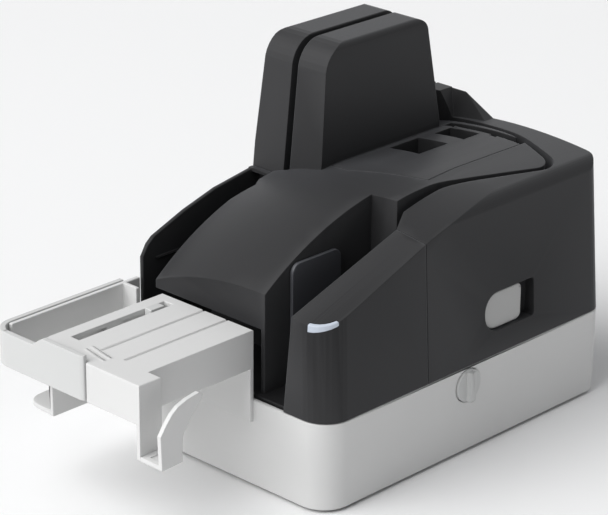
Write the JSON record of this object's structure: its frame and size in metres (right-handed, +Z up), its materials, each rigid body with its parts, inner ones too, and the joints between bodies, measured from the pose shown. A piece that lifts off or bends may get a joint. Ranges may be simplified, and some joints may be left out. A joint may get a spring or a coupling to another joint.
{
  "type": "cheque scanner",
  "caption": "Desktop cheque transport scanner with an entry pocket, a U-shaped paper path, a tall imaging head, an opening side cover and an output tray with a sliding stopper.",
  "frame": {"origin": "on the ground under the middle of the base shell", "axes": "+X to the machine's right, +Y to its back, +Z up; the front faces -Y"},
  "size_m": [0.1486, 0.296, 0.193],
  "materials": {
    "light_plastic": "fine satin texture",
    "trim_plastic": "satin",
    "dark_plastic": "fine mat texture",
    "black_plastic": "mat",
    "lens_plastic": "frosted",
    "rubber": "mat",
    "steel": "plain",
    "motor_steel": "plain",
    "board": "satin",
    "glass": "clear",
    "sensor_body": "mat",
    "ink_case": "satin"
  },
  "bodies": {
    "machine": {"base_shell": "light_plastic", "bottom_plate": "black_plastic", "rubber_feet": "rubber", "plate_screws": "steel", "path_deck": "black_plastic", "bearing_plate": "steel", "plate_posts": "steel", "drive_belt": "rubber", "motor": "motor_steel", "main_board": "board", "power_socket": "black_plastic", "data_socket": "steel", "switch_frame": "black_plastic", "arm_housing": "dark_plastic", "status_lens": "lens_plastic", "scan_housing": "dark_plastic", "door_pin": "steel", "center_cover": "dark_plastic", "magnetic_head": "steel", "inner_sensor": "sensor_body", "outer_sensor": "sensor_body", "sensor_glasses": "glass", "lid_pin": "steel", "cartridge_cradle": "black_plastic", "ink_cartridge": "ink_case", "presser_spring": "steel", "exit_fence": "dark_plastic", "output_tray": "light_plastic", "entry_rest": "light_plastic"},
    "cover_body": {"transport_cover": "dark_plastic", "lever_spring": "steel"},
    "lever_body": {"open_lever": "trim_plastic", "latch_bolt": "steel"},
    "lid_body": {"cartridge_lid": "dark_plastic"},
    "stopper_body": {"tray_stopper": "trim_plastic"},
    "knob_body": {"selector_knob": "trim_plastic"},
    "switch_body": {"power_switch": "sensor_body"},
    "presser_body": {"presser_plate": "sensor_body"},
    "motor_rotor": {"motor_pulley": "steel"},
    "feed_drive": {"feed_shaft": "steel", "feed_roller": "rubber"},
    "right_drive": {"right_shaft": "steel", "right_roller": "rubber"},
    "rear_drive": {"rear_shaft": "steel", "rear_roller": "rubber"},
    "left_drive": {"left_shaft": "steel", "left_roller": "rubber"},
    "exit_drive": {"exit_shaft": "steel", "exit_roller": "rubber"},
    "pick_drive": {"pick_shaft": "steel", "pick_roller": "rubber"},
    "retard_spin": {"retard_roller": "sensor_body"},
    "right_pinch_spin": {"right_pinch": "sensor_body"},
    "rear_pinch_spin": {"rear_pinch": "sensor_body"},
    "left_pinch_spin": {"left_pinch": "sensor_body"},
    "exit_pinch_spin": {"exit_pinch": "sensor_body"}
  },
  "joints": [
    {"name": "cover_hinge", "type": "hinge", "parent": "machine", "child": "cover_body", "pos_m": [-0.057, 0.102, 0.09], "axis": [0, 0, 1], "range_deg": [0, 60]},
    {"name": "lever_slide", "type": "slide", "parent": "cover_body", "child": "lever_body", "axis": [0, 1, 0], "range_m": [0, 0.008], "stiffness_N_per_m": 150, "springref_m": -0.004},
    {"name": "lid_hinge", "type": "hinge", "parent": "machine", "child": "lid_body", "pos_m": [0, 0.0812, 0.1304], "axis": [-1, 0, 0], "range_deg": [0, 70]},
    {"name": "stopper_slide", "type": "slide", "parent": "machine", "child": "stopper_body", "axis": [0, -1, 0], "range_m": [0, 0.04]},
    {"name": "selector_turn", "type": "hinge", "parent": "machine", "child": "knob_body", "pos_m": [0.0705, -0.0024, 0.0374], "axis": [1, 0, 0], "range_deg": [0, 90]},
    {"name": "switch_rock", "type": "hinge", "parent": "machine", "child": "switch_body", "pos_m": [-0.044, 0.09761, 0.0235], "axis": [1, 0, 0], "range_deg": [0, 12]},
    {"name": "presser_slide", "type": "slide", "parent": "machine", "child": "presser_body", "axis": [1, 0, 0], "range_m": [0, 0.01], "stiffness_N_per_m": 60, "springref_m": -0.002},
    {"name": "motor_spin", "type": "hinge", "parent": "machine", "child": "motor_rotor", "pos_m": [-0.004, -0.016, 0.03], "axis": [0, 0, 1], "continuous": true},
    {"name": "feed_spin", "type": "hinge", "parent": "machine", "child": "feed_drive", "pos_m": [0.02885, -0.008, 0.07], "axis": [0, 0, 1], "continuous": true},
    {"name": "right_spin", "type": "hinge", "parent": "machine", "child": "right_drive", "pos_m": [0.04029, 0.0427, 0.07], "axis": [0, 0, 1], "continuous": true},
    {"name": "rear_spin", "type": "hinge", "parent": "machine", "child": "rear_drive", "pos_m": [-0.00543, 0.08124, 0.07], "axis": [0, 0, 1], "continuous": true},
    {"name": "left_spin", "type": "hinge", "parent": "machine", "child": "left_drive", "pos_m": [-0.03735, 0.07, 0.07], "axis": [0, 0, 1], "continuous": true},
    {"name": "exit_spin", "type": "hinge", "parent": "machine", "child": "exit_drive", "pos_m": [-0.03735, -0.002, 0.07], "axis": [0, 0, 1], "continuous": true},
    {"name": "pick_spin", "type": "hinge", "parent": "machine", "child": "pick_drive", "pos_m": [0.053, -0.062, 0.07], "axis": [0, 0, 1], "continuous": true},
    {"name": "retard_roll", "type": "hinge", "parent": "cover_body", "child": "retard_spin", "pos_m": [0.04715, -0.008, 0.07], "axis": [0, 0, 1], "continuous": true},
    {"name": "right_pinch_roll", "type": "hinge", "parent": "cover_body", "child": "right_pinch_spin", "pos_m": [0.05489, 0.03813, 0.07], "axis": [0, 0, 1], "continuous": true},
    {"name": "rear_pinch_roll", "type": "hinge", "parent": "cover_body", "child": "rear_pinch_spin", "pos_m": [-0.00475, 0.09452, 0.07], "axis": [0, 0, 1], "continuous": true},
    {"name": "left_pinch_roll", "type": "hinge", "parent": "machine", "child": "left_pinch_spin", "pos_m": [-0.05265, 0.07, 0.07], "axis": [0, 0, 1], "continuous": true},
    {"name": "exit_pinch_roll", "type": "hinge", "parent": "machine", "child": "exit_pinch_spin", "pos_m": [-0.05265, -0.002, 0.07], "axis": [0, 0, 1], "continuous": true}
  ],
  "couplings": [
    {"joint": "feed_spin", "follows": "motor_spin", "ratio": 1},
    {"joint": "right_spin", "follows": "motor_spin", "ratio": 1},
    {"joint": "rear_spin", "follows": "motor_spin", "ratio": 1},
    {"joint": "left_spin", "follows": "motor_spin", "ratio": 1},
    {"joint": "exit_spin", "follows": "motor_spin", "ratio": 1},
    {"joint": "pick_spin", "follows": "motor_spin", "ratio": -0.9},
    {"joint": "retard_roll", "follows": "motor_spin", "ratio": -1.25},
    {"joint": "right_pinch_roll", "follows": "motor_spin", "ratio": -1.5},
    {"joint": "rear_pinch_roll", "follows": "motor_spin", "ratio": -2.25},
    {"joint": "left_pinch_roll", "follows": "motor_spin", "ratio": -1.5},
    {"joint": "exit_pinch_roll", "follows": "motor_spin", "ratio": -1.5}
  ]
}
